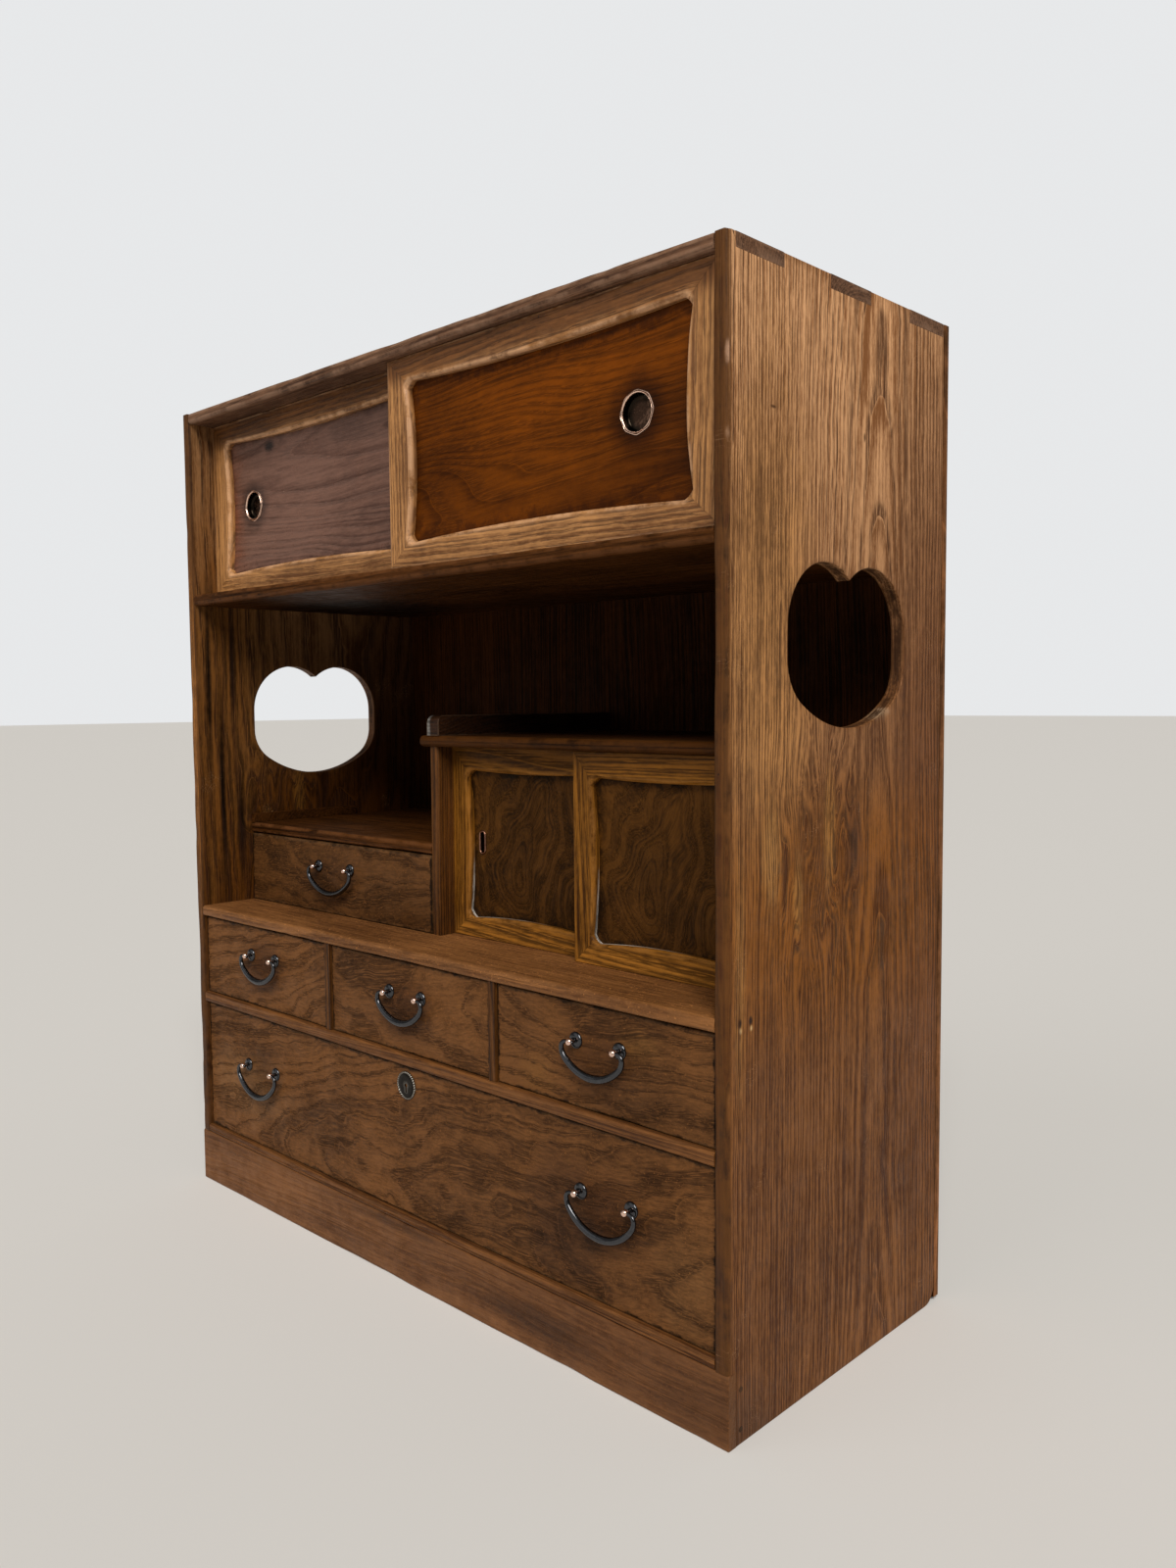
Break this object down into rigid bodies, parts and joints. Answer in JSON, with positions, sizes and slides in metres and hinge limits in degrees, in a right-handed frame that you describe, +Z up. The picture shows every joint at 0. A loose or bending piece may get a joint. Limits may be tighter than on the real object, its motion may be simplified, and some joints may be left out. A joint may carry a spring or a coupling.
{
  "type": "tea cabinet",
  "caption": "Tea cabinet with sliding panelled doors over an open stepped niche, a small cupboard, drawers with drop handles and lobed cut-outs in its sides.",
  "frame": {"origin": "on the floor, under the middle of the carcass's width and depth", "axes": "+Z up, the front with doors and drawers faces -Y, +X is to the right seen from the front"},
  "size_m": [0.873, 0.3704, 1],
  "materials": {
    "side_wood": "worn satin",
    "shelf_wood": "worn dark stain",
    "rail_wood": "worn satin",
    "counter_wood": "satin",
    "inner_wood": "bare",
    "door_frame_wood": "open grain, satin",
    "right_panel_wood": "polished",
    "left_panel_wood": "polished",
    "small_panel_wood": "dark burl, satin",
    "drawer_front_wood": "figured, satin",
    "iron": "dark, polished by use",
    "dark_bronze": "dark",
    "copper": "dark copper",
    "bolt_metal": "worn"
  },
  "bodies": {
    "carcass": {"left_side": "side_wood", "right_side": "side_wood", "top_board": "shelf_wood", "back_panel": "shelf_wood", "back_nails": "iron", "plinth": "rail_wood", "plinth_blocks": "inner_wood", "bottom_board": "inner_wood", "bottom_rail": "rail_wood", "drawer_rail": "rail_wood", "drawer_runners": "inner_wood", "drawer_dividers": "rail_wood", "counter_board": "counter_wood", "upper_shelf": "shelf_wood", "step_shelf": "shelf_wood", "wall_batten": "shelf_wood", "partition": "shelf_wood", "cupboard_top": "counter_wood", "gallery_rail": "shelf_wood"},
    "upper_right_door": {"upper_right_frame": "door_frame_wood", "upper_right_panel": "right_panel_wood", "upper_right_pull": "dark_bronze"},
    "upper_left_door": {"upper_left_frame": "door_frame_wood", "upper_left_panel": "left_panel_wood", "upper_left_pull": "dark_bronze"},
    "small_right_door": {"small_right_frame": "door_frame_wood", "small_right_panel": "small_panel_wood", "small_right_pull": "copper"},
    "small_left_door": {"small_left_frame": "door_frame_wood", "small_left_panel": "small_panel_wood", "small_left_pull": "copper"},
    "left_drawer": {"left_drawer_front": "drawer_front_wood", "left_drawer_box": "inner_wood", "left_drawer_bed": "inner_wood", "left_drawer_posts": "iron"},
    "middle_drawer": {"middle_drawer_front": "drawer_front_wood", "middle_drawer_box": "inner_wood", "middle_drawer_bed": "inner_wood", "middle_drawer_posts": "iron"},
    "right_drawer": {"right_drawer_front": "drawer_front_wood", "right_drawer_box": "inner_wood", "right_drawer_bed": "inner_wood", "right_drawer_posts": "iron"},
    "small_drawer": {"small_drawer_front": "drawer_front_wood", "small_drawer_box": "inner_wood", "small_drawer_bed": "inner_wood", "small_drawer_posts": "iron"},
    "wide_drawer": {"wide_drawer_front": "drawer_front_wood", "wide_drawer_box": "inner_wood", "wide_drawer_bed": "inner_wood", "wide_drawer_posts": "iron", "key_plate": "dark_bronze", "lock_case": "iron"},
    "left_bail_handle": {"left_bail": "iron"},
    "middle_bail_handle": {"middle_bail": "iron"},
    "right_bail_handle": {"right_bail": "iron"},
    "small_bail_handle": {"small_bail": "iron"},
    "wide_left_bail_handle": {"wide_left_bail": "iron"},
    "wide_right_bail_handle": {"wide_right_bail": "iron"},
    "bolt": {"lock_bolt": "bolt_metal"}
  },
  "joints": [
    {"name": "upper_right_door_slide", "type": "slide", "parent": "carcass", "child": "upper_right_door", "axis": [-1, 0, 0], "range_m": [0, 0.404]},
    {"name": "upper_left_door_slide", "type": "slide", "parent": "carcass", "child": "upper_left_door", "axis": [1, 0, 0], "range_m": [0, 0.404]},
    {"name": "small_right_door_slide", "type": "slide", "parent": "carcass", "child": "small_right_door", "axis": [-1, 0, 0], "range_m": [0, 0.207]},
    {"name": "small_left_door_slide", "type": "slide", "parent": "carcass", "child": "small_left_door", "axis": [1, 0, 0], "range_m": [0, 0.207]},
    {"name": "left_drawer_slide", "type": "slide", "parent": "carcass", "child": "left_drawer", "axis": [0, -1, 0], "range_m": [0, 0.25]},
    {"name": "middle_drawer_slide", "type": "slide", "parent": "carcass", "child": "middle_drawer", "axis": [0, -1, 0], "range_m": [0, 0.25]},
    {"name": "right_drawer_slide", "type": "slide", "parent": "carcass", "child": "right_drawer", "axis": [0, -1, 0], "range_m": [0, 0.25]},
    {"name": "small_drawer_slide", "type": "slide", "parent": "carcass", "child": "small_drawer", "axis": [0, -1, 0], "range_m": [0, 0.19]},
    {"name": "wide_drawer_slide", "type": "slide", "parent": "carcass", "child": "wide_drawer", "axis": [0, -1, 0], "range_m": [0, 0.25]},
    {"name": "left_bail_hinge", "type": "hinge", "parent": "left_drawer", "child": "left_bail_handle", "pos_m": [-0.28417, -0.185, 0.3173], "axis": [-1, 0, 0], "range_deg": [-5, 180]},
    {"name": "middle_bail_hinge", "type": "hinge", "parent": "middle_drawer", "child": "middle_bail_handle", "pos_m": [0, -0.185, 0.3173], "axis": [-1, 0, 0], "range_deg": [-5, 180]},
    {"name": "right_bail_hinge", "type": "hinge", "parent": "right_drawer", "child": "right_bail_handle", "pos_m": [0.28417, -0.185, 0.3173], "axis": [-1, 0, 0], "range_deg": [-5, 180]},
    {"name": "small_bail_hinge", "type": "hinge", "parent": "small_drawer", "child": "small_bail_handle", "pos_m": [-0.23015, -0.115, 0.4263], "axis": [-1, 0, 0], "range_deg": [-5, 180]},
    {"name": "wide_left_bail_hinge", "type": "hinge", "parent": "wide_drawer", "child": "wide_left_bail_handle", "pos_m": [-0.293, -0.185, 0.1753], "axis": [-1, 0, 0], "range_deg": [-5, 180]},
    {"name": "wide_right_bail_hinge", "type": "hinge", "parent": "wide_drawer", "child": "wide_right_bail_handle", "pos_m": [0.293, -0.185, 0.1753], "axis": [-1, 0, 0], "range_deg": [-5, 180]},
    {"name": "lock_bolt_slide", "type": "slide", "parent": "wide_drawer", "child": "bolt", "axis": [0, 0, 1], "range_m": [0, 0.007]}
  ]
}
